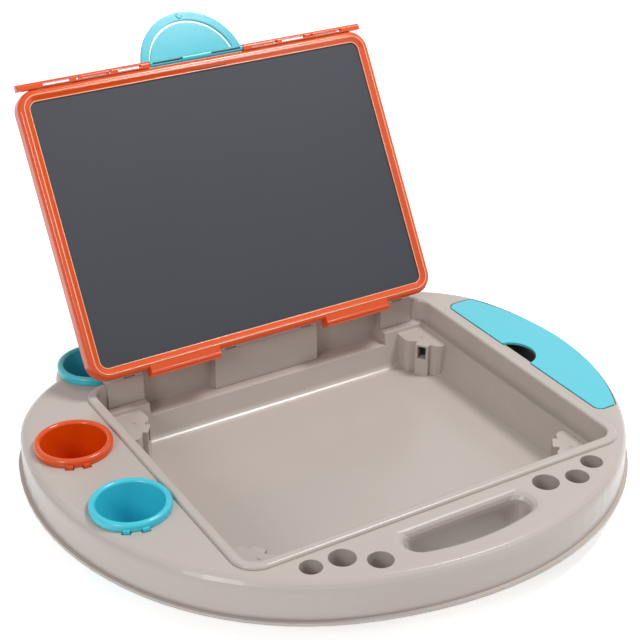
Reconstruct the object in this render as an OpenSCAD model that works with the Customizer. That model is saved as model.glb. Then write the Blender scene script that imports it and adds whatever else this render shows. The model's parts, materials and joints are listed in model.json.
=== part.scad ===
// Art table top: a moulded tray with a storage tub, a hinged easel lid and lift-out cups.
// Millimetres. Origin: middle of the tub in plan, at the underside of the tub floor.
// +Z is up, +Y is the hinge side, the child sits on the -Y side.

/* [Main sizes] */
// Outside width of the rolled rim of the storage tub
tub_width = 400; // [397:0.5:400]
// Height of the deck above the underside of the tub
deck_height = 63; // [61:1:69]
// Wall of the storage tub
tub_wall = 3; // [2.4:0.1:3.4]
// Wall of the tray shell
shell_wall = 3.2; // [2.8:0.1:3.4]
// Thickness of the closing panel under the tray
panel_thickness = 3.3; // [2.5:0.1:3.6]

/* [Cups and wells] */
// Outside radius of the rolled rim of a cup
cup_rim_radius = 35.9; // [34.9:0.1:35.9]
// Overall height of a cup
cup_height = 56; // [45:1:57]
// Depth of the pen wells
well_depth = 28; // [15:1:30]

/* [Easel lid] */
// Radius of the steel hinge pins
pin_radius = 1.5; // [1.2:0.1:1.6]
// Thickness of the writing panel
board_thickness = 2.6; // [2:0.1:3]
// Thickness of the panel behind the writing panel
back_thickness = 2.4; // [2:0.1:2.6]

/* [Leg sockets] */
// Radius of the bore that takes a leg
socket_radius = 9.5; // [8:0.5:10]

/* [Hidden] */
$fn = 96;

greige = [0.75, 0.71, 0.68];
orange = [0.93, 0.39, 0.18];
turquoise = [0.42, 0.81, 0.87];
aqua = [0.35, 0.80, 0.86];
slate = [0.29, 0.30, 0.33];
steel = [0.72, 0.73, 0.75];

eps = 0.5;
seat_gap = 0.3;
running_gap = 0.06;
thread_gap = 0.05;

// Tray outline: tangent arcs that start at the front point and run up each side.
front_x = 9.2;
front_y = -246.8;
headings = [0, 22, 62, 108, 148, 180];
right_radii = [290, 246, 289, 139, 454.90144];
left_radii = [367, 259, 295, 139, 348.10426];
ring_step = 4;
roll_step = 22.5;

// Skirt of the tray
flange_out = 3.2;
skirt_draft = 0.9;
deck_round = 10;
round_inset = flange_out + skirt_draft + deck_round;
skirt_bottom = deck_height - 36.1;
panel_bottom = skirt_bottom - panel_thickness;
round_z = deck_height - deck_round;
deck_under = deck_height - shell_wall;

// Storage tub
tub_depth = 332.6;
tub_corner = 23.8;
bead_width = 9.7;
bead_height = 3.5;
bead_round = 3;
bead_top = deck_height + bead_height;
tub_hx = tub_width / 2;
tub_hy = tub_depth / 2;
wall_outer = bead_width - tub_wall;
ledge_top = deck_height - 20;
ledge_under = ledge_top - tub_wall;
ledge_low = skirt_bottom + seat_gap + tub_wall;
low_under = ledge_low - tub_wall;
basin_x = 184.7;
basin_front = -150.6;
basin_back = 144.6;
basin_taper = 6;
basin_round = 6;
floor_top = tub_wall;
basin_slope = basin_taper / (ledge_top - floor_top);
left_shift = 5.5;
hole_gap = 0.5;
pillar = [[154.5, 160], [152.5, 135], [152.2, 128], [154.5, 123.5], [159.6, 120.6],
          [168.8, 105.6], [172, 99.5], [177, 96.8], [183, 97], [200, 99.5], [200, 160]];
pillar_top = ledge_top - 4;
socket_x = 170;
socket_y = 124;
socket_depth = pillar_top - tub_wall;
socket_step = 0.5;
socket_at = [[socket_x, -socket_y], [left_shift - socket_x, -socket_y],
             [socket_x, socket_y], [left_shift - socket_x, socket_y]];
window_x = 160.5;
window_y = 108.8;
window_turn = 216;
window_wide = 9;
window_tall = 14;
window_z = pillar_top - 2 - window_tall / 2;
rib_wide = 14.5;
rib_deep = 8;
mark_radius = 2;
mark_deep = 0.4;

// Hinge beam
beam_half = 176;
beam_front = 154.2;
beam_back = 180.5;
beam_top = deck_height + 8.3;
beam_wall = 3;
recess_in = 59.5;
recess_out = 137.8;
recess_back = tub_hy + 0.4;
recess_wall_out = recess_out + beam_wall;
bead_clear = 0.4;
ear_in = 92.2;
ear_out = 104.8;
ear_radius = 4;
axis_y = 143.4;
axis_z = deck_height + 13;
beam_screw_x = [-122, -75, 0, 75, 122];
beam_screw_y = 174.4;
beam_slot_x = [-158, -46, 41.5, 153.5];
beam_slot_y = 155.6;
beam_slot_long = 12.5;
beam_slot_wide = 2.2;
beam_slot_deep = 1.5;

// Screws
screw_radius = 1.5;
screw_head = 2.8;
head_height = 2;
boss_radius = 4;
screw_bite = 8.7;
bore_spare = 1.3;
beam_screw_long = beam_top - deck_under - 2.3;

// Screws that hold the tub and the bottom panel
tub_screw_x = 189.7;
tub_screw_y = [-90, 0, 90];
base_screw_at = [[-135, -199], [103, -213], [213, -130], [213, 158], [94, 219], [-60, 238],
                 [-250, 151], [-277, 23], [-237, -107]];

// Cups
cup_at = [[-237.1, -32.1], [-241.6, 81.6], [-168.4, 204.3]];
cup_rise = 7.7;
cup_top = deck_height + cup_rise;
cup_bottom = cup_top - cup_height;
cup_rim_wide = 6.2;
cup_rim_wall = 2;
cup_taper = 4;
cup_hole = 32.6;
cup_floor_gap = 1;
bulge_radius = 42.5;
lug_angles = [[-94, -120], [-94, -118], [78, 102]];
lug_in = 34;
lug_out = 38.5;
lug_wide = 6;
lug_low = 1.6;
lug_gap = 0.7;

// Pen wells: x, y, radius
wells = [[-147.1, -181.7, 9.8], [-119, -184.3, 11.8], [-93.6, -202.5, 11.2],
         [90.4, -184.2, 12], [119.9, -191.3, 10.7], [145.9, -179.6, 10.2]];
well_wall = 2;

// Hand hole in the front of the tray
hand_tip_x = 50;
hand_tip_y = -195.3;
hand_tip_radius = 12;
hand_front_y = -213.7;
hand_arc = 210.5;
hand_arc_y = hand_front_y + hand_arc;
hand_steps = 10;
hand_back_grow = 0.55;

// Side compartment and its lid
side_x = 209;
side_arc_x = 17.2;
side_arc_y = 16.6;
side_arc = 249.4;
side_round = 7;
side_low = [225.2, -107.8];
side_high = [234.2, 124.7];
side_low_in = [216, -107.8];
side_high_in = [219, 121.7];
side_high_round = 10;
side_lid_thickness = 2.6;
side_gap = 1.8;
side_pocket_in = 4;
side_slot_deep = 12;
side_wall = 2.4;
side_floor = skirt_bottom + 2.5;
side_seat = deck_height - side_lid_thickness - seat_gap;
notch_y = 12.7;
notch_radius = 24;
notch_x = 204;

// Easel lid, drawn flat: x across, y up the lid, z toward the writing side
lid_lean = 30.84;
lid_axis_v = -17;
lid_axis_w = -5.2;
lid_hx = 195;
lid_bottom = -12.6;
lid_top = 273.5;
lid_corner = 20;
lid_back = -12;
ridge_w = 4;
shoulder = 5;
border = 12;
border_solid = 9.8;
shelf_w = lid_back + back_thickness;
back_inset = 2.7;
board_inset = 10;
tab_in = 61;
tab_out = 136;
tab_top = -5.8;
tab_low = -16;
tab_flange = -20.3;
tab_back = -9.2;
tab_front = 3.5;
ear_slot_in = 91.5;
ear_slot_out = 105.5;
pin_in = 63.5;
pin_out = 134.5;
lid_screw_inset = 6.2;
lip_notch = [-10, 28];
lid_screw_at = [[-150, 0], [-50, 0], [50, 0], [150, 0], [-150, 1], [-20, 1], [30, 1], [150, 1]];
lid_side_screw_v = [40, 130, 220];
lid_screw_depth = 6.5;
lid_screw_head = 2.8;
lid_mid_v = (lid_bottom + lid_top) / 2;
lid_hy = (lid_top - lid_bottom) / 2;
desk_rib_x = lid_hx - 13;

// Rail and clip on the free edge of the lid
rail_w = -1.5;
rail_v = lid_top + 3.6;
rail_radius = 3.3;
rail_base = lid_top + seat_gap;
rail_slot_low = rail_v - 1.8;
rail_slot_high = rail_v + 0.6;
rail_seam_high = rail_v - 0.9;
clip_half = 51.5;
clip_gap = 0.8;
barrel_radius = 3.2;
trunnion_radius = 1.6;
trunnion_long = 6;
rail_end = clip_half + clip_gap;
rail_far = lid_hx - 4;
tenon_x = [61.5, 127, 175];
tenon_deep = 5.5;
tenon_wide = 8;
tenon_thick = 2.6;
tenon_gap = 0.1;
clip_arc = 56.5;
clip_arc_s = -5;
clip_slot_arc = 48;
clip_tongue_arc = 46;
clip_back = -8.2;
clip_thick = 3;
clip_lean = -8;
tongue_drop = 1.5;
tongue_thick = 2.2;

// Where each boundary arc starts: [x, y] after i arcs on one side
function arc_end(side, radii, i) = i == 0 ? [front_x, front_y] :
    arc_end(side, radii, i - 1) + radii[i - 1] * [
        side * (sin(headings[i]) - sin(headings[i - 1])),
        cos(headings[i - 1]) - cos(headings[i])];
function arc_mid(side, radii, i) = arc_end(side, radii, i) + radii[i] * [
    -side * sin(headings[i]), cos(headings[i])];
function arc_point(side, radii, i, t, inset) = arc_mid(side, radii, i) +
    (radii[i] - inset) * [side * sin(t), -cos(t)];
function flip(list) = [for (i = [len(list) - 1:-1:1]) list[i]];
// Cross-section of the skirt as [distance in from the flange edge, height], bottom to top
outer_line = concat([[flange_out, skirt_bottom]],
    [for (a = [0:roll_step:90]) [round_inset - deck_round * cos(a),
                                 round_z + deck_round * sin(a)]]);
inner_line = concat([[flange_out + shell_wall, skirt_bottom - eps]],
    [for (a = [0:roll_step:90]) [round_inset - (deck_round - shell_wall) * cos(a),
                                 round_z + (deck_round - shell_wall) * sin(a)]]);

// One closed ring of the tray outline at a given distance in from the flange edge
function ring_side(side, radii, inset) = [for (i = [0:4])
    let (turn = headings[i + 1] - headings[i], steps = ceil(turn / ring_step))
    for (k = [0:steps - 1])
        arc_point(side, radii, i, headings[i] + turn * k / steps, inset)];
function ring(inset) = concat(ring_side(1, right_radii, inset),
    [arc_point(1, right_radii, 4, 180, inset)], flip(ring_side(-1, left_radii, inset)));

// The whole tray footprint, filled, with the bulge round the back cup
module footprint(line) {
    ring_stack([for (q = line) [for (p = ring(q[0])) [p.x, p.y, q[1]]]]);
    translate(concat(cup_at[2], [0])) rotate_extrude()
        polygon(concat([[0, line[0][1]]], [for (q = line) [bulge_radius - q[0], q[1]]],
                       [[0, line[len(line) - 1][1]]]));
}

module panel_plan() {
    polygon(ring(0));
    translate(cup_at[2]) circle(r = bulge_radius);
}

module round_rect(x1, y1, x2, y2, r) {
    translate([x1 + r, y1]) square([x2 - x1 - 2 * r, y2 - y1]);
    translate([x1, y1 + r]) square([x2 - x1, y2 - y1 - 2 * r]);
    for (x = [x1 + r, x2 - r], y = [y1 + r, y2 - r]) translate([x, y]) circle(r = r);
}

module box(x1, x2, y1, y2, z1, z2) {
    translate([x1, y1, z1]) cube([x2 - x1, y2 - y1, z2 - z1]);
}

// Both hinge positions: a box and its mirror image
module both_boxes(x1, x2, y1, y2, z1, z2) {
    box(x1, x2, y1, y2, z1, z2);
    box(-x2, -x1, y1, y2, z1, z2);
}

// A screw that points up, with its head below z = 0
module screw_up(length) {
    cylinder(r = screw_radius, h = length);
    translate([0, 0, -head_height]) cylinder(r = screw_head, h = head_height);
}

// Hand hole outline: front arc, two round tips and a straight back edge that grows less
function hand_point(s, g, t) = [s * (hand_tip_x + (hand_tip_radius + g) * cos(t)),
                                hand_tip_y + (hand_tip_radius + g) * sin(t)];
function hand_ring(g) =
    let (n = hand_steps, turn = asin(hand_tip_x / (hand_arc - hand_tip_radius)),
         low = turn - 90,
         high = asin((hand_tip_radius + hand_back_grow * g) / (hand_tip_radius + g)))
    concat([for (k = [0:n]) let (t = -90 - turn + 2 * turn * k / n)
                [(hand_arc + g) * cos(t), hand_arc_y + (hand_arc + g) * sin(t)]],
           [for (k = [1:n]) hand_point(1, g, low + (high - low) * k / n)],
           [for (k = [n:-1:1]) hand_point(-1, g, low + (high - low) * k / n)]);

// Closed solid through a list of rings with equal point counts, lowest ring first
module ring_stack(rings) {
    n = len(rings[0]);
    m = len(rings);
    polyhedron(points = [for (r = rings) each r],
        faces = concat([[for (i = [0:n - 1]) i]],
            [[for (i = [n - 1:-1:0]) (m - 1) * n + i]],
            [for (j = [0:m - 2], i = [0:n - 1])
                [j * n + i, (j + 1) * n + i, (j + 1) * n + (i + 1) % n, j * n + (i + 1) % n]]));
}

// Funnel that rolls the deck down into the hand hole
module hand_roll() {
    ring_stack(concat(
        [for (a = [0:roll_step:90]) [for (p = hand_ring(deck_round * (1 - cos(a))))
            [p.x, p.y, round_z + deck_round * sin(a)]]],
        [[for (p = hand_ring(deck_round)) [p.x, p.y, deck_height + eps]]]));
}

// Plan of the side lid, grown by a margin
module side_plan(grow) {
    intersection() {
        translate([side_arc_x, side_arc_y]) circle(r = side_arc + grow, $fn = 180);
        polygon([[side_x - grow, side_low_in.y], side_low_in,
                 [side_low_in.x, side_low.y - side_round - grow],
                 [side_low.x, side_low.y - side_round - grow], side_low,
                 [side_arc_x, side_arc_y] + 1.3 * (side_low - [side_arc_x, side_arc_y]),
                 [side_arc_x, side_arc_y] + 1.3 * (side_high - [side_arc_x, side_arc_y]),
                 side_high, [side_high.x, side_high_in.y + side_high_round + grow],
                 [side_high_in.x, side_high_in.y + side_high_round + grow], side_high_in,
                 [side_x - grow, side_high_in.y]]);
    }
    for (c = [side_low, side_high, side_low_in]) translate(c) circle(r = side_round + grow);
    translate(side_high_in) circle(r = side_high_round + grow);
}

module tray_shell() {
    color(greige)
    difference() {
        union() {
            difference() {
                footprint(outer_line);
                footprint(inner_line);
            }
            for (w = wells) translate([w.x, w.y, deck_height - well_depth - well_wall])
                cylinder(r = w.z + well_wall, h = well_depth);
            for (p = base_screw_at) translate([p.x, p.y, skirt_bottom])
                cylinder(r = boss_radius, h = deck_height - skirt_bottom - 1);
            translate([0, 0, skirt_bottom]) linear_extrude(height = round_z - skirt_bottom)
                polygon(hand_ring(shell_wall));
            translate([0, 0, round_z - shell_wall]) linear_extrude(height = deck_round)
                polygon(hand_ring(deck_round + 1));
            box(-hand_tip_x - hand_tip_radius, hand_tip_x + hand_tip_radius,
                hand_tip_y + hand_tip_radius - 1, hand_tip_y + hand_tip_radius + shell_wall,
                skirt_bottom, deck_under + 1);
            translate([0, 0, side_floor - side_wall]) linear_extrude(height = side_seat - side_floor)
                side_plan(side_wall - side_pocket_in);
            translate([0, 0, side_seat - shell_wall]) linear_extrude(height = shell_wall + 0.3)
                side_plan(side_gap + 1);
        }
        linear_extrude(height = deck_height + 1)
            round_rect(-tub_hx + wall_outer - hole_gap, -tub_hy + wall_outer - hole_gap,
                       tub_hx - wall_outer + hole_gap, tub_hy - wall_outer + hole_gap,
                       tub_corner - wall_outer + hole_gap);
        both_boxes(recess_in - tub_wall, recess_out + tub_wall, 0,
                   recess_back + tub_wall + hole_gap, skirt_bottom, deck_height + 1);
        for (c = cup_at) translate([c.x, c.y, 0]) cylinder(r = cup_hole, h = deck_height + 1);
        for (k = [0:2], a = lug_angles[k])
            translate([cup_at[k].x, cup_at[k].y, deck_height - lug_low - lug_gap])
            rotate([0, 0, a])
            translate([cup_hole - 1, -lug_wide / 2 - lug_gap, 0])
            cube([lug_out + lug_gap - cup_hole + 1, lug_wide + 2 * lug_gap, 10]);
        for (w = wells) translate([w.x, w.y, deck_height - well_depth])
            cylinder(r = w.z, h = well_depth + 1);
        for (p = base_screw_at) translate([p.x, p.y, skirt_bottom - 1])
            cylinder(r = screw_radius + thread_gap, h = 1 + screw_bite + bore_spare);
        for (x = beam_screw_x) translate([x, beam_screw_y, skirt_bottom])
            cylinder(r = screw_radius + thread_gap, h = deck_height);
        translate([0, 0, skirt_bottom - 1]) linear_extrude(height = deck_height)
            polygon(hand_ring(0));
        hand_roll();
        translate([0, 0, side_seat]) linear_extrude(height = 10) side_plan(side_gap);
        translate([0, 0, side_floor]) linear_extrude(height = deck_height)
            side_plan(-side_pocket_in);
        box(side_x - side_gap, side_x + 0.2, side_low_in.y, side_high_in.y,
            deck_height - side_slot_deep, deck_height + 1);
    }
}

module bottom_panel() {
    color(greige)
    difference() {
        translate([0, 0, panel_bottom]) linear_extrude(height = panel_thickness) panel_plan();
        translate([0, 0, panel_bottom - 1]) linear_extrude(height = panel_thickness + 2) {
            slope = basin_slope * (skirt_bottom - floor_top);
            edge = basin_taper - tub_wall - hole_gap;
            translate([-basin_x + left_shift + edge - slope, basin_front + edge - slope])
                square([2 * (basin_x - edge + slope) - left_shift,
                        basin_back - basin_front - 2 * (edge - slope)]);
            polygon(hand_ring(0));
            for (c = cup_at) translate(c)
                circle(r = cup_rim_radius - cup_rim_wide + cup_rim_wall + cup_floor_gap
                           - cup_taper * (cup_top - skirt_bottom) / cup_height);
            for (p = base_screw_at) translate(p) circle(r = screw_radius + thread_gap);
            for (s = [-1, 1], y = tub_screw_y) translate([s * tub_screw_x, y])
                circle(r = screw_radius + thread_gap);
        }
    }
}

// Cross-section of the rolled rim; x runs inward from the outer edge
module bead_profile() {
    translate([0, deck_height]) square([bead_width, bead_height - bead_round]);
    translate([bead_round, deck_height]) square([bead_width - 2 * bead_round, bead_height]);
    intersection() {
        for (x = [bead_round, bead_width - bead_round])
            translate([x, bead_top - bead_round]) circle(r = bead_round);
        translate([0, deck_height]) square([bead_width, bead_height]);
    }
    translate([wall_outer, ledge_under]) square([tub_wall, deck_height - ledge_under + eps]);
}

module tub_rim() {
    sx = tub_hx - tub_corner;
    sy = tub_hy - tub_corner;
    for (a = [0, 1]) mirror([a, 0, 0]) for (b = [0, 1]) mirror([0, b, 0])
        translate([sx, sy, 0]) rotate_extrude(angle = 90)
        intersection() {
            translate([tub_corner, 0]) mirror([1, 0]) bead_profile();
            square([tub_corner, 100]);
        }
    for (a = [0, 1]) mirror([a, 0, 0])
        translate([tub_hx, sy, 0]) rotate([90, 0, 0]) linear_extrude(height = 2 * sy)
        mirror([1, 0]) bead_profile();
    for (b = [0, 1]) mirror([0, b, 0])
        translate([-sx, tub_hy, 0]) rotate([90, 0, 90]) linear_extrude(height = 2 * sx)
        mirror([1, 0]) bead_profile();
}

// Bottom corner of the basin, rounded by r; side 1 is the right or back corner
function basin_corner(x, z, side, r) = r == 0 ? [[x, z]] :
    [for (a = side > 0 ? [0:roll_step:90] : [90:-roll_step:0])
        [x - side * r * (1 - sin(a) - basin_slope * (1 - cos(a))), z + r * (1 - cos(a))]];
function basin_line(from, to, z1, z2, r) =
    let (low = basin_slope * (z1 - floor_top) - basin_taper,
         high = basin_slope * (z2 - floor_top) - basin_taper)
    concat(basin_corner(from - low, z1, -1, r), basin_corner(to + low, z1, 1, r),
           [[to + high, z2], [from - high, z2]]);

// Tapered block: the basin grown outward by a margin, from z1 up to z2
module basin(grow, z1, z2, r) {
    intersection() {
        rotate([90, 0, 0]) translate([0, 0, -250]) linear_extrude(height = 500)
            polygon(basin_line(-basin_x + left_shift - grow, basin_x + grow, z1, z2, r));
        rotate([90, 0, 90]) translate([0, 0, -250]) linear_extrude(height = 500)
            polygon(basin_line(basin_front - grow, basin_back + grow, z1, z2, r));
    }
}

// Places children at the four corner posts
module each_corner() {
    for (a = [0, 1]) translate([a * left_shift, 0, 0]) mirror([a, 0, 0])
        for (b = [0, 1]) mirror([0, b, 0]) children();
}

module at_window() {
    translate([window_x, window_y, 0]) rotate([0, 0, window_turn]) children();
}

module storage_tub() {
    color(greige)
    difference() {
        union() {
            difference() {
                union() {
                    tub_rim();
                    translate([0, 0, ledge_under]) linear_extrude(height = tub_wall)
                        round_rect(-tub_hx + wall_outer + 0.5, -tub_hy + wall_outer + 0.5,
                                   tub_hx - wall_outer - 0.5, tub_hy - wall_outer - 0.5,
                                   tub_corner - wall_outer - 0.5);
                    basin(tub_wall, 0, ledge_under + 1, 0);
                    box(-recess_out - tub_wall, recess_out + tub_wall, basin_back - 1,
                        tub_hy - wall_outer, low_under, ledge_top);
                    both_boxes(recess_in - tub_wall + hole_gap, recess_out + tub_wall - hole_gap,
                               tub_hy - wall_outer - 1, recess_back + tub_wall, low_under,
                               deck_height);
                    for (s = [-1, 1], y = tub_screw_y)
                        translate([s * tub_screw_x, y, skirt_bottom])
                        cylinder(r = boss_radius - 0.3, h = ledge_under - skirt_bottom + 1);
                }
                basin(0, floor_top, ledge_top + 1, basin_round);
            }
            intersection() {
                each_corner() {
                    translate([0, 0, 1]) linear_extrude(height = pillar_top - 1) polygon(pillar);
                    at_window() translate([-rib_deep, -rib_wide / 2, 1])
                        cube([rib_deep, rib_wide, pillar_top - 1]);
                }
                basin(tub_wall, 0, ledge_top, 0);
            }
        }
        box(-recess_out + hole_gap, recess_out - hole_gap, tub_hy - 30, tub_hy - bead_width,
            ledge_low, ledge_top + 1);
        both_boxes(recess_in + hole_gap, recess_out - hole_gap, tub_hy - 30, recess_back,
                   ledge_low, bead_top + 1);
        each_corner() translate([socket_x, socket_y, pillar_top - mark_deep])
            cylinder(r = mark_radius, h = 1);
        each_corner() at_window()
            translate([-rib_deep - 3, -window_wide / 2, window_z - window_tall / 2])
            cube([rib_deep + 5, window_wide, window_tall]);
        for (k = [0:3]) translate([socket_at[k].x, socket_at[k].y, -1])
            cylinder(r = socket_radius, h = socket_depth - k * socket_step + 1);
        for (s = [-1, 1], y = tub_screw_y) translate([s * tub_screw_x, y, skirt_bottom - 1])
            cylinder(r = screw_radius + thread_gap, h = 1 + screw_bite + bore_spare);
    }
}

module hinge_beam() {
    color(greige)
    difference() {
        union() {
            difference() {
                union() {
                    box(-beam_half, beam_half, beam_front, tub_hy, ledge_top + seat_gap, beam_top);
                    box(-recess_in, recess_in, beam_front, tub_hy - bead_width,
                        ledge_low + seat_gap, beam_top);
                    box(-recess_wall_out, recess_wall_out, beam_front, beam_back,
                        deck_height, beam_top);
                }
                box(-recess_in + beam_wall, recess_in - beam_wall, beam_front + beam_wall,
                    beam_back - beam_wall, 0, beam_top - beam_wall);
                both_boxes(recess_wall_out, beam_half - beam_wall, beam_front + beam_wall,
                           tub_hy - beam_wall, 0, beam_top - beam_wall);
                both_boxes(recess_in, recess_out, recess_back + beam_wall, beam_back - beam_wall,
                           0, beam_top - beam_wall);
                both_boxes(recess_in, recess_out, 0, recess_back, 0, beam_top + 1);
                box(-200, 200, tub_hy - bead_width - bead_clear, recess_back, 0,
                    bead_top + seat_gap);
            }
            for (x = beam_screw_x) translate([x, beam_screw_y, deck_height])
                cylinder(r = boss_radius, h = beam_top - deck_height - 1);
            for (s = [-1, 1]) {
                translate([s > 0 ? ear_in : -ear_out, 0, 0]) {
                    translate([0, axis_y, axis_z]) rotate([0, 90, 0])
                        cylinder(r = ear_radius, h = ear_out - ear_in);
                    rotate([90, 0, 90]) linear_extrude(height = ear_out - ear_in)
                        polygon([[axis_y, axis_z - ear_radius], [156, deck_height + 2.5],
                                 [recess_back + 1, deck_height + 0.3],
                                 [recess_back + 1, beam_top], [156, axis_z - 1],
                                 [axis_y, axis_z]]);
                }
            }
        }
        for (s = [-1, 1]) translate([s > 0 ? ear_in - 1 : -ear_out - 1, axis_y, axis_z])
            rotate([0, 90, 0]) cylinder(r = pin_radius, h = ear_out - ear_in + 2);
        for (x = beam_screw_x) translate([x, beam_screw_y, deck_height - 1])
            cylinder(r = screw_radius + thread_gap, h = beam_top - deck_height - 0.8);
        for (x = beam_slot_x) box(x, x + beam_slot_long, beam_slot_y, beam_slot_y + beam_slot_wide,
                                  beam_top - beam_slot_deep, beam_top + 1);
    }
}

module hinge_pin(side) {
    color(steel)
    translate([side > 0 ? pin_in : -pin_out, axis_y, axis_z]) rotate([0, 90, 0])
        cylinder(r = pin_radius, h = pin_out - pin_in);
}

module hinge_pin_left() { hinge_pin(-1); }

module hinge_pin_right() { hinge_pin(1); }

module beam_screws() {
    color(steel)
    for (x = beam_screw_x) translate([x, beam_screw_y, deck_under]) screw_up(beam_screw_long);
}

module tub_screws() {
    color(steel)
    for (s = [-1, 1], y = tub_screw_y) translate([s * tub_screw_x, y, panel_bottom])
        screw_up(panel_thickness + screw_bite);
}

module base_screws() {
    color(steel)
    for (p = base_screw_at) translate([p.x, p.y, panel_bottom])
        screw_up(panel_thickness + screw_bite);
}

module compartment_lid() {
    color(turquoise)
    translate([0, 0, deck_height - side_lid_thickness]) linear_extrude(height = side_lid_thickness)
    difference() {
        side_plan(0);
        translate([notch_x, notch_y]) circle(r = notch_radius);
    }
}

module cup(index, tint) {
    inner = cup_rim_radius - cup_rim_wide;
    rim_mid = cup_rim_radius - cup_rim_wide / 2;
    rim_z = cup_top - cup_rim_wide / 2;
    color(tint)
    translate([cup_at[index].x, cup_at[index].y, 0]) {
        rotate_extrude() {
            difference() {
                union() {
                    translate([rim_mid, rim_z]) circle(r = cup_rim_wide / 2);
                    polygon([[0, cup_bottom], [inner + cup_rim_wall - cup_taper, cup_bottom],
                             [inner + cup_rim_wall, rim_z], [0, rim_z]]);
                    translate([cup_rim_radius - cup_rim_wall, deck_height + seat_gap])
                        square([cup_rim_wall, rim_z - deck_height - seat_gap]);
                }
                polygon([[-1, cup_bottom + cup_rim_wall],
                         [inner - cup_taper, cup_bottom + cup_rim_wall],
                         [inner, rim_z], [inner, cup_top], [-1, cup_top]]);
            }
        }
        for (a = lug_angles[index]) rotate([0, 0, a])
            translate([lug_in, -lug_wide / 2, deck_height - lug_low])
            cube([lug_out - lug_in, lug_wide, lug_low + 3]);
    }
}

module cup_front() { cup(0, aqua); }

module cup_middle() { cup(1, orange); }

module cup_back() { cup(2, aqua); }

// Places a piece that is drawn flat in lid coordinates onto the hinge axis
module on_lid() {
    translate([0, axis_y, axis_z]) rotate([90 - lid_lean, 0, 0])
        translate([0, -lid_axis_v, -lid_axis_w]) children();
}

// Cross-section of the lid border; x runs inward from the outer edge
module border_profile() {
    polygon([[0, lid_back], [back_inset, lid_back], [back_inset, shelf_w], [border_solid, shelf_w],
             [border_solid, 0], [border, 0], [border, 1.2], [border - 0.8, 1.2],
             [border - 0.8, 0.7], [6.8, ridge_w], [shoulder, ridge_w - 0.5],
             [shoulder, ridge_w - 0.5 - shoulder], [0, ridge_w - 0.5 - shoulder]]);
    intersection() {
        translate([shoulder, ridge_w - 0.5 - shoulder]) circle(r = shoulder);
        translate([0, ridge_w - 0.5 - shoulder]) square([shoulder, shoulder]);
    }
}

module lid_border() {
    sx = lid_hx - lid_corner;
    sy = lid_hy - lid_corner;
    translate([0, lid_mid_v, 0]) {
        for (a = [0, 1]) mirror([a, 0, 0]) for (b = [0, 1]) mirror([0, b, 0])
            translate([sx, sy, 0]) rotate_extrude(angle = 90)
            translate([lid_corner, 0]) mirror([1, 0]) border_profile();
        for (a = [0, 1]) mirror([a, 0, 0])
            translate([lid_hx, sy, 0]) rotate([90, 0, 0]) linear_extrude(height = 2 * sy)
            mirror([1, 0]) border_profile();
        for (b = [0, 1]) mirror([0, b, 0])
            translate([-sx, lid_hy, 0]) rotate([90, 0, 90]) linear_extrude(height = 2 * sx)
            mirror([1, 0]) border_profile();
    }
}

module lid_screw_places() {
    for (p = lid_screw_at)
        translate([p.x, p.y == 0 ? lid_bottom + lid_screw_inset : lid_top - lid_screw_inset,
                   lid_back])
        children();
    for (s = [-1, 1], v = lid_side_screw_v)
        translate([s * (lid_hx - lid_screw_inset), v, lid_back]) children();
}

module tenon_places() {
    for (s = [-1, 1], x = tenon_x) translate([s * x, 0, 0]) children();
}

module lid_frame() {
    color(orange)
    on_lid()
    difference() {
        union() {
            lid_border();
            both_boxes(tab_in, tab_out, tab_low, tab_top, tab_back, tab_front);
            both_boxes(tab_in, tab_out + 0.6, tab_flange, tab_low + 1, tab_back, tab_front - 0.8);
            both_boxes(tab_in, tab_out + 0.6, tab_low - 1.6, tab_low + 1, tab_back,
                       tab_front + 0.5);
        }
        for (s = [-1, 1]) translate([s > 0 ? ear_slot_in : -ear_slot_out, 0, 0])
            rotate([90, 0, 90]) linear_extrude(height = ear_slot_out - ear_slot_in)
            polygon([[lid_bottom, lid_back - 1], [lid_bottom, -2.5], [-14.5, -0.6],
                     [lid_axis_v, -0.6], [tab_flange - 1, 1.7], [tab_flange - 1, lid_back - 1]]);
        for (s = [-1, 1])
            translate([s > 0 ? pin_in - 0.5 : -tab_out - 2, lid_axis_v, lid_axis_w])
            rotate([0, 90, 0])
            cylinder(r = pin_radius + running_gap, h = tab_out + 2.5 - pin_in);
        translate([0, 0, shelf_w - lid_back]) lid_screw_places()
            cylinder(r = screw_radius + thread_gap, h = lid_screw_depth);
        box(lip_notch[0], lip_notch[1], lid_top - border - 1, lid_top - border_solid - 0.4,
            -0.5, ridge_w);
        tenon_places()
            translate([-tenon_wide / 2 - tenon_gap, lid_top - tenon_deep - tenon_gap,
                       rail_w - tenon_thick / 2 - tenon_gap])
            cube([tenon_wide + 2 * tenon_gap, tenon_deep + 3, tenon_thick + 2 * tenon_gap]);
    }
}

module chalkboard() {
    color(slate)
    on_lid()
    translate([0, 0, -board_thickness]) linear_extrude(height = board_thickness)
        round_rect(-lid_hx + board_inset, lid_bottom + board_inset, lid_hx - board_inset,
                   lid_top - board_inset, lid_corner - board_inset);
}

module desk_panel() {
    color(orange)
    on_lid()
    difference() {
        union() {
            translate([0, 0, lid_back]) linear_extrude(height = back_thickness)
                round_rect(-lid_hx + back_inset + 0.1, lid_bottom + back_inset + 0.1,
                           lid_hx - back_inset - 0.1, lid_top - back_inset - 0.1,
                           lid_corner - back_inset - 0.1);
            for (k = [-2:2]) translate([k * desk_rib_x / 3, 0, 0])
                box(-1, 1, 0, lid_top - 11.5, shelf_w - 1, -board_thickness);
            for (k = [1:3]) translate([0, k * lid_top / 4, 0])
                box(-desk_rib_x, desk_rib_x, -1, 1, shelf_w - 1, -board_thickness);
        }
        lid_screw_places() {
            translate([0, 0, -1]) cylinder(r = screw_radius + thread_gap, h = 10);
            translate([0, 0, -1]) cylinder(r = lid_screw_head + thread_gap, h = 2.3);
        }
    }
}

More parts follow.
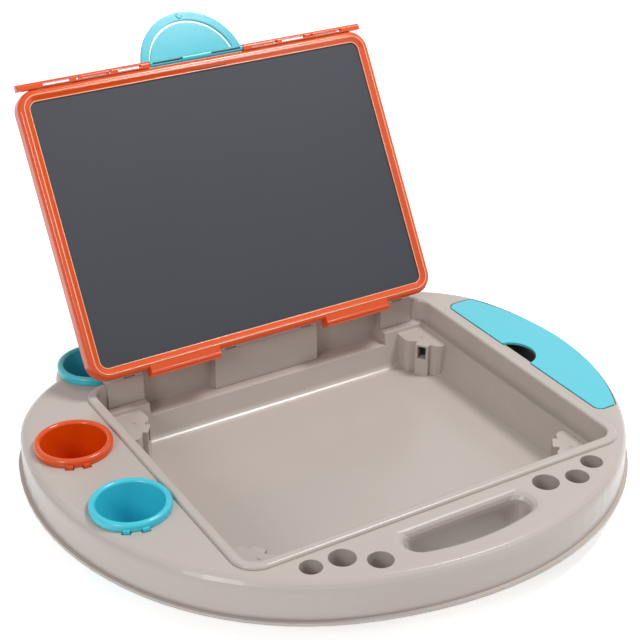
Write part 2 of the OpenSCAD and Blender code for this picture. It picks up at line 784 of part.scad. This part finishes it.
module lid_screws() {
    color(steel)
    on_lid()
    lid_screw_places() {
        translate([0, 0, 0.1]) cylinder(r = lid_screw_head, h = 1.2);
        translate([0, 0, 1]) cylinder(r = screw_radius, h = 6.8);
    }
}

// One rail with the slots of one side: [from, to, tall slot or thin seam]
module rail(side, slots) {
    color(orange)
    on_lid()
    difference() {
        union() {
            translate([side > 0 ? rail_end : -rail_far, 0, 0]) {
                long = rail_far - rail_end;
                translate([0, rail_v, rail_w]) rotate([0, 90, 0])
                    cylinder(r = rail_radius, h = long);
                translate([0, rail_base, rail_w - rail_radius])
                    cube([long, rail_v - rail_base, 2 * rail_radius]);
            }
            for (x = tenon_x)
                translate([side * x - tenon_wide / 2, lid_top - tenon_deep,
                           rail_w - tenon_thick / 2])
                cube([tenon_wide, tenon_deep + 1, tenon_thick]);
        }
        for (s = slots) box(s[0], s[1], rail_slot_low, s[2] ? rail_slot_high : rail_seam_high,
                            -10, 10);
        translate([side > 0 ? rail_end - 1 : -rail_end - trunnion_long - 1, rail_v, rail_w])
            rotate([0, 90, 0])
            cylinder(r = trunnion_radius + running_gap, h = trunnion_long + 2);
    }
}

module rail_left() {
    rail(-1, [[-164.4, -135.6, true], [-130.2, -126.6, true], [-124.7, -96.4, false],
              [-95.8, -92.8, true], [-86.7, -61.5, true]]);
}

module rail_right() {
    rail(1, [[61.5, 89.2, false], [89.2, 92.3, true], [97.2, 125.7, true],
             [131.5, 135, true], [136.9, 165.3, false], [165.3, 169.6, true]]);
}

// Clip outline: a circle cut off level with the barrel
module clip_disc(r, low) {
    intersection() {
        translate([0, clip_arc_s]) circle(r = r, $fn = 180);
        translate([-100, low]) square([200, 100]);
    }
}

module paper_clip() {
    color(turquoise)
    on_lid()
    translate([0, rail_v, rail_w])
    difference() {
        union() {
            translate([-clip_half, 0, 0]) rotate([0, 90, 0])
                cylinder(r = barrel_radius, h = 2 * clip_half);
            translate([-clip_half - trunnion_long, 0, 0]) rotate([0, 90, 0])
                cylinder(r = trunnion_radius, h = 2 * clip_half + 2 * trunnion_long);
            box(-clip_half, clip_half, 0, 3, clip_back - clip_thick + 0.8, 0);
            rotate([clip_lean, 0, 0]) {
                translate([0, 0, clip_back - clip_thick]) linear_extrude(height = clip_thick)
                difference() {
                    clip_disc(clip_arc, 1.5);
                    clip_disc(clip_slot_arc, 5.5);
                }
                translate([0, 0, clip_back - clip_thick - tongue_drop])
                    linear_extrude(height = tongue_thick) clip_disc(clip_tongue_arc, 1.5);
                box(-clip_tongue_arc + 3, clip_tongue_arc - 3, 1.5, 4,
                    clip_back - clip_thick - tongue_drop, clip_back);
                translate([0, clip_arc + clip_arc_s - 3.5, clip_back - 0.2])
                    cylinder(r = 3, h = 0.8);
            }
        }
        both_boxes(16, 49, -1, 1.2, -6, 10);
    }
}

tray_shell();
bottom_panel();
storage_tub();
hinge_beam();
hinge_pin_left();
hinge_pin_right();
beam_screws();
tub_screws();
base_screws();
compartment_lid();
cup_front();
cup_middle();
cup_back();
lid_frame();
chalkboard();
desk_panel();
lid_screws();
rail_left();
rail_right();
paper_clip();
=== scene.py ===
# %% [markdown]
# # Art table top
# This lesson lights and finishes the tray top of a child's art table. Its solids come from a
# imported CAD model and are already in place, so nothing here moves or reshapes them. What is
# added is what solids can't hold: a camera, lamps, a floor, the finish of each plastic, and two
# fine beads on the frame of the easel lid.
# Lengths are in metres. +Z is up, and the hinge of the easel lid is toward +Y.

# %% Load the frame
import json
import math

import bpy
from mathutils import Matrix, Vector

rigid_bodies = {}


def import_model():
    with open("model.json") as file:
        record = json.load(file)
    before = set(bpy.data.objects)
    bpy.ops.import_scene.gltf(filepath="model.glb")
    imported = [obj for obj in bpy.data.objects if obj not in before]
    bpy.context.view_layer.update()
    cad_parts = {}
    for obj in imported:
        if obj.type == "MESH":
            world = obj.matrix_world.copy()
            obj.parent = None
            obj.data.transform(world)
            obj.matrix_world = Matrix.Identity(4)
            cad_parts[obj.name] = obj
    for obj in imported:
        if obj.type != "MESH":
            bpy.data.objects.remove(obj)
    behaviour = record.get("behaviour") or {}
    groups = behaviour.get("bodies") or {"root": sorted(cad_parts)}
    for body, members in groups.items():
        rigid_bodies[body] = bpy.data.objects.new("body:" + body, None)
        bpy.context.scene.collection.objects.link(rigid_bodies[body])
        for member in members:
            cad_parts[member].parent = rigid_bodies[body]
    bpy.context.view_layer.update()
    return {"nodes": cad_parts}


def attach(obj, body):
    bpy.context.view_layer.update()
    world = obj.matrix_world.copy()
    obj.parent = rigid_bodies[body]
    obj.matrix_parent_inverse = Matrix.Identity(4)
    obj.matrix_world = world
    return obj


for old in list(bpy.data.objects):
    bpy.data.objects.remove(old)
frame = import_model()
nodes = frame["nodes"]
print("nodes", len(nodes))

# %% [markdown]
# ## Camera
# The picture looks down on the tray from the front left, through a lens of about 84 mm. A camera
# could be moved by eye until the view seems right. Here it was solved from parts with a known
# shape: the rim of the tub, the board and the round wells. The numbers below are that answer.
# `focal_px` is the focal length for a picture that is 640 pixels wide. The two shifts slide the
# camera to the side and up without turning it.

# %% Camera
PICTURE = 640
SENSOR_MM = 36
FAR_ENOUGH = 50
focal_px = 1496.78
az, el = math.radians(-30.949), math.radians(28.282)
target = Vector((0, -0.0363, 0.063))
shift_right, shift_up, distance = 0.044041, -0.103859, 1.381108
back = Vector((math.sin(az) * math.cos(el), -math.cos(az) * math.cos(el), math.sin(el)))
right = Vector((math.cos(az), math.sin(az), 0))
up = back.cross(right)
cam_data = bpy.data.cameras.new("camera")
cam_data.sensor_width = SENSOR_MM
cam_data.lens = SENSOR_MM * focal_px / PICTURE
cam_data.clip_end = FAR_ENOUGH
cam = bpy.data.objects.new("camera", cam_data)
bpy.context.scene.collection.objects.link(cam)
place = Matrix((right, up, back)).transposed().to_4x4()
place.translation = target - right * shift_right - up * shift_up + back * distance
cam.matrix_world = place
bpy.context.scene.camera = cam
print("camera at", tuple(round(v, 4) for v in place.translation))

# %% [markdown]
# ## Rays that see and rays that light
# The table stands in front of plain white. A bright white world would give that background,
# but it would also wash out the plastics. So white is shown only to rays that see the room
# directly, in a reflection or through something clear, and the light that falls on the table
# is set by itself. The Light Path node tells these rays apart. The Standard view transform
# keeps each colour about as it is written.

# %% Rays that see
scene = bpy.context.scene
scene.view_settings.view_transform = "Standard"


def seen_directly(tree):
    """1 for camera, glossy and transmission rays, 0 for the light that falls on things."""
    path = tree.nodes.new("ShaderNodeLightPath")
    seen = path.outputs["Is Camera Ray"]
    for ray in ("Is Glossy Ray", "Is Transmission Ray"):
        either = tree.nodes.new("ShaderNodeMath")
        either.operation = "MAXIMUM"
        tree.links.new(seen, either.inputs[0])
        tree.links.new(path.outputs[ray], either.inputs[1])
        seen = either.outputs[0]
    return seen


print("view transform", scene.view_settings.view_transform)

# %% [markdown]
# ## White room
# The room round the table is a world with two backgrounds. The dim one lights the object from
# all sides, so that no wall of the tub goes black, and the white one is what is seen. A dome
# with a picture of a studio could do the same, but it would need a picture file.

# %% World
WHITE = (1, 1, 1, 1)
ROOM_LIGHT = 0.42
BACKDROP_LIGHT = 1.0
world = bpy.data.worlds.new("white room")
scene.world = world
world.use_nodes = True
wt = world.node_tree
room = wt.nodes["Background"]
backdrop = wt.nodes.new("ShaderNodeBackground")
for light, strength in ((room, ROOM_LIGHT), (backdrop, BACKDROP_LIGHT)):
    light.inputs["Color"].default_value = WHITE
    light.inputs["Strength"].default_value = strength
pick = wt.nodes.new("ShaderNodeMixShader")
wt.links.new(seen_directly(wt), pick.inputs["Fac"])
wt.links.new(room.outputs[0], pick.inputs[1])
wt.links.new(backdrop.outputs[0], pick.inputs[2])
wt.links.new(pick.outputs[0], wt.nodes["World Output"].inputs["Surface"])
print("room light", ROOM_LIGHT, "and backdrop", BACKDROP_LIGHT)

# %% [markdown]
# ## Lamps
# Glossy plastic is read by its highlights. A sun or a point lamp would draw pinpricks and hard
# shadows, so both lamps are round area lamps. The key lamp hangs above and a little to the
# right, and draws the bright lines along the rims. The side lamp is weaker and comes from the
# front left, so that the shaded walls of the tub can still be read.

# %% Lamps
def lamp(name, where, aim, size, watts):
    """A round area lamp that points at a place."""
    data = bpy.data.lights.new(name, "AREA")
    data.shape = "DISK"
    data.size = size
    data.energy = watts
    obj = bpy.data.objects.new(name, data)
    obj.location = where
    obj.rotation_euler = (Vector(aim) - Vector(where)).to_track_quat("-Z", "Y").to_euler()
    scene.collection.objects.link(obj)


middle = (0, 0, 0.1)
lamp("key", (0.9, -0.3, 2.1), middle, size=0.6, watts=30)
lamp("side", (-2.0, -0.9, 1.3), middle, size=0.8, watts=14)
print("lamps", len(bpy.data.lights))

# %% [markdown]
# ## Floor
# The floor only has to hold a soft shadow. Plain white paper would turn grey where the lamps
# fade and would show its edge against the backdrop. So the paper is pale and gives off a little
# white light, only for the rays that see it, and its far part melts into the backdrop. It lies
# half a millimetre under the tray, so that the two faces don't flicker into each other.

# %% Floor
FLOOR_SIZE, FLOOR_Z = 30, -0.0005
PAPER, PAPER_ROUGH, PAPER_GLOW = (0.95, 0.95, 0.95, 1), 0.9, 0.6
bpy.ops.mesh.primitive_plane_add(size=FLOOR_SIZE, location=(0, 0, FLOOR_Z))
floor = bpy.context.active_object
floor.name = "floor"
paper = bpy.data.materials.new("white paper")
paper.use_nodes = True
pt = paper.node_tree
sheet = pt.nodes["Principled BSDF"]
sheet.inputs["Base Color"].default_value = PAPER
sheet.inputs["Roughness"].default_value = PAPER_ROUGH
glow = pt.nodes.new("ShaderNodeEmission")
glow.inputs["Color"].default_value = WHITE
lift = pt.nodes.new("ShaderNodeMath")
lift.operation = "MULTIPLY"
lift.inputs[1].default_value = PAPER_GLOW
both = pt.nodes.new("ShaderNodeAddShader")
pt.links.new(seen_directly(pt), lift.inputs[0])
pt.links.new(lift.outputs[0], glow.inputs["Strength"])
pt.links.new(sheet.outputs[0], both.inputs[0])
pt.links.new(glow.outputs[0], both.inputs[1])
pt.links.new(both.outputs[0], pt.nodes["Material Output"].inputs["Surface"])
floor.data.materials.append(paper)
print("floor at", FLOOR_Z)

# %% [markdown]
# ## A helper for shader nodes
# A finish is a small net of shader nodes. Each one could be made and filled in by hand, which
# takes a line for every value. This helper makes a node and sets its values in one line. A
# value goes straight on its socket, with no extra node to hold it.

# %% Shader nodes
def shader(tree, kind, **values):
    """A new shader node with some of its sockets set."""
    new = tree.nodes.new(kind)
    for socket, value in values.items():
        new.inputs[socket].default_value = value
    return new


print("values go to sockets by", shader.__name__)

# %% [markdown]
# ## How a moulded plastic is made
# Nearly the whole table is moulded plastic. One even colour looks drawn, and a photographed
# texture would bring in the light of another room. So the shader draws three small things
# itself. A broad noise lets the colour and the gloss drift a little. A very fine noise is the
# grain that the mould leaves. A bevel rounds the shading at each edge, because no moulded edge
# is truly sharp. All of it follows the piece's own coordinates, so it stays put when a piece
# moves. The grain is too fine to need real geometry.

# %% Plastic
DRIFT_SCALE, DRIFT_DETAIL = 9.0, 3.0
GRAIN_SCALE, GRAIN_DETAIL, GRAIN_HEIGHT = 1400.0, 2.0, 0.0004
BEVEL_SAMPLES = 6


def plastic(name, colour, drift=0.04, rough=(0.25, 0.36), grain=0.05, edge=0.0008):
    """A moulded plastic: drift of the colour, range of the roughness, grain and edge radius."""
    mat = bpy.data.materials.new(name)
    mat.use_nodes = True
    tree = mat.node_tree
    link = tree.links.new
    bsdf = tree.nodes["Principled BSDF"]
    where = shader(tree, "ShaderNodeTexCoord")
    broad = shader(tree, "ShaderNodeTexNoise", Scale=DRIFT_SCALE, Detail=DRIFT_DETAIL)
    fine = shader(tree, "ShaderNodeTexNoise", Scale=GRAIN_SCALE, Detail=GRAIN_DETAIL)
    ramp = shader(tree, "ShaderNodeValToRGB")
    ends = ramp.color_ramp.elements
    ends[0].color = [c * (1 - drift) for c in colour] + [1]
    ends[1].color = [min(1, c * (1 + drift)) for c in colour] + [1]
    gloss = shader(tree, "ShaderNodeMapRange", **{"To Min": rough[0], "To Max": rough[1]})
    bevel = shader(tree, "ShaderNodeBevel", Radius=edge)
    bevel.samples = BEVEL_SAMPLES
    bump = shader(tree, "ShaderNodeBump", Strength=grain, Distance=GRAIN_HEIGHT)
    link(where.outputs["Object"], broad.inputs["Vector"])
    link(where.outputs["Object"], fine.inputs["Vector"])
    link(broad.outputs["Fac"], ramp.inputs["Fac"])
    link(ramp.outputs["Color"], bsdf.inputs["Base Color"])
    link(broad.outputs["Fac"], gloss.inputs["Value"])
    link(gloss.outputs["Result"], bsdf.inputs["Roughness"])
    link(fine.outputs["Fac"], bump.inputs["Height"])
    link(bevel.outputs["Normal"], bump.inputs["Normal"])
    link(bump.outputs["Normal"], bsdf.inputs["Normal"])
    return mat


print("grain height in mm", GRAIN_HEIGHT * 1000)

# %% [markdown]
# ## The plastics of this table
# The tray, the tub and the hinge beam are one greige plastic with a satin gloss. The lid frame,
# its rails and the middle cup are a glossier orange. The side lid, the clip and the other two
# cups are three blues, each set for its own piece. The clip's blue is darker than the side lid's
# because shade is painted into it, so that the clip, which faces the key lamp, is not too
# bright.
# The writing board is dark and nearly matt, with a stronger grain that chalk can hold on to. One
# material with a colour per piece would be
# shorter, but a finish of its own can be changed without touching the others. Colours are
# written as 0 to 255, as a picture program shows them. Shaders calculate in linear light, so
# `srgb` converts them.

# %% Finishes of the plastic pieces
def srgb(*colour):
    """Linear values of a colour that is written as 0 to 255."""
    return [((v / 255 + 0.055) / 1.055) ** 2.4 if v > 10 else v / 255 / 12.92
            for v in colour]


def wear(mat, *names):
    """Give one finish to some pieces."""
    for name in names:
        for slot in nodes[name].material_slots:
            slot.material = mat


greige = plastic("greige plastic", srgb(191, 181, 174), rough=(0.2, 0.3), edge=0.0012)
orange = plastic("orange plastic", srgb(224, 80, 12), rough=(0.12, 0.2), edge=0.001)
turquoise = plastic("turquoise plastic", srgb(92, 204, 220), rough=(0.22, 0.3))
# the clip's darker blue is painted shade, so that the key lamp doesn't make the clip too bright
clip_blue_painted_shade = plastic("clip plastic with painted shade", srgb(60, 188, 204), rough=(0.16, 0.22), edge=0.001)
aqua = plastic("aqua plastic", srgb(66, 202, 222), rough=(0.2, 0.28))
slate = plastic("slate board", srgb(50, 53, 61), drift=0.1, rough=(0.45, 0.6), grain=0.12)
wear(greige, "tray_shell", "bottom_panel", "storage_tub", "hinge_beam")
wear(orange, "lid_frame", "desk_panel", "rail_left", "rail_right", "cup_middle")
wear(turquoise, "compartment_lid")
wear(clip_blue_painted_shade, "paper_clip")
wear(aqua, "cup_front", "cup_back")
wear(slate, "chalkboard")
print("plastics", [m.name for m in (greige, orange, turquoise, clip_blue_painted_shade, aqua, slate)])

# %% [markdown]
# ## Steel
# The hinge pins and the screws are plain steel, and mostly hidden. Brushed lines would be too
# fine to see on them, so the plastic's recipe is used again. A metal takes its whole look from
# what it reflects, which is what Metallic at 1 does.

# %% Steel
steel = plastic("steel", srgb(180, 182, 186), rough=(0.25, 0.4))
steel.node_tree.nodes["Principled BSDF"].inputs["Metallic"].default_value = 1
wear(steel, "hinge_pin_left", "hinge_pin_right", "beam_screws", "tub_screws", "base_screws",
     "lid_screws")
print("finishes on", len(nodes), "nodes")

# %% [markdown]
# ## Where the beads of the lid frame run
# The moulded frame has two fine raised lines that catch the light: one along its ridge, and
# one along the lip that holds the board. They could be painted with a bump, but bump is lost
# in the exported mesh, so they are real geometry. Their path is drawn flat, as a rounded
# rectangle in the lid's own coordinates, and then leaned back with the lid: x runs along the
# hinge, v up the lid and w out of the board.

# %% Paths on the lid
MM = 0.001
HINGE_Y, HINGE_Z = 143.4, 76.0
LEAN_BACK = 30.84
LEAN = math.radians(90 - LEAN_BACK)
# how far the zero of the lid's coordinates lies from the hinge
LID_V, LID_W = 17.0, 5.2
LID_HALF_X, LID_LOW, LID_HIGH, LID_CORNER = 195.0, -12.6, 273.5, 20.0


def on_lid(x, v, w):
    """A point drawn flat on the lid, in millimetres, as a place in the scene."""
    along, out = v + LID_V, w + LID_W
    return Vector((x, HINGE_Y + along * math.cos(LEAN) - out * math.sin(LEAN),
                   HINGE_Z + along * math.sin(LEAN) + out * math.cos(LEAN))) * MM


def rounded_path(inset, w, steps=10):
    """Rounded rectangle on the lid at a distance in from the edge of the frame."""
    radius = LID_CORNER - inset
    middle_v = (LID_LOW + LID_HIGH) / 2
    reach_x = LID_HALF_X - LID_CORNER
    reach_v = (LID_HIGH - LID_LOW) / 2 - LID_CORNER
    path = []
    for quarter, (sx, sv) in enumerate(((1, 1), (-1, 1), (-1, -1), (1, -1))):
        for k in range(steps + 1):
            turn = math.radians(90 * (quarter + k / steps))
            path.append(on_lid(sx * reach_x + radius * math.cos(turn),
                               middle_v + sv * reach_v + radius * math.sin(turn), w))
    return path


print("top corner of the lid", tuple(round(c, 4) for c in on_lid(LID_HALF_X, LID_HIGH, 0)))

# %% [markdown]
# ## The beads
# A curve with a round bevel would make the same tube, but would still have to be turned into a
# mesh. Here the rings are placed straight along the path and joined face by face, which leaves
# a closed tube with no ends. A little more than half of it is sunk in the frame, and the rest
# stands up as the bead. Its orange is more polished and paler than the frame. The pale colour is
# a painted highlight, so the line looks as if it always finds the light. The beads ride on the
# easel lid, so they turn with it.

# %% Beads
BEAD_RADIUS = 0.55
# name, distance in from the edge of the frame, height above the board
BEADS = (("frame_ridge_bead", 5.6, 3.7), ("frame_lip_bead", 11.5, 1.0))


def closed_tube(name, path, radius, mat, sides=8):
    """A tube of some radius in millimetres along a closed path on the lid."""
    count = len(path)
    lid_out = Vector((0, -math.sin(LEAN), math.cos(LEAN)))
    points, faces = [], []
    for i, here in enumerate(path):
        after = (i + 1) % count
        side = (path[after] - path[i - 1]).normalized().cross(lid_out)
        for k in range(sides):
            turn = 2 * math.pi * k / sides
            ring = side * math.cos(turn) + lid_out * math.sin(turn)
            points.append(here + radius * MM * ring)
            beside = (k + 1) % sides
            faces.append((i * sides + k, i * sides + beside,
                          after * sides + beside, after * sides + k))
    mesh = bpy.data.meshes.new(name)
    mesh.from_pydata(points, [], faces)
    mesh.polygons.foreach_set("use_smooth", [True] * len(faces))
    mesh.materials.append(mat)
    obj = bpy.data.objects.new(name, mesh)
    scene.collection.objects.link(obj)
    return obj


# the pale orange of the beads is a painted highlight along each line
bead_painted_highlight = plastic("bead with painted highlight", srgb(255, 186, 144), rough=(0.08, 0.14))
for name, inset, w in BEADS:
    bead = closed_tube(name, rounded_path(inset, w), BEAD_RADIUS, bead_painted_highlight)
    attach(bead, "easel")
    print(name, len(bead.data.polygons), "faces")
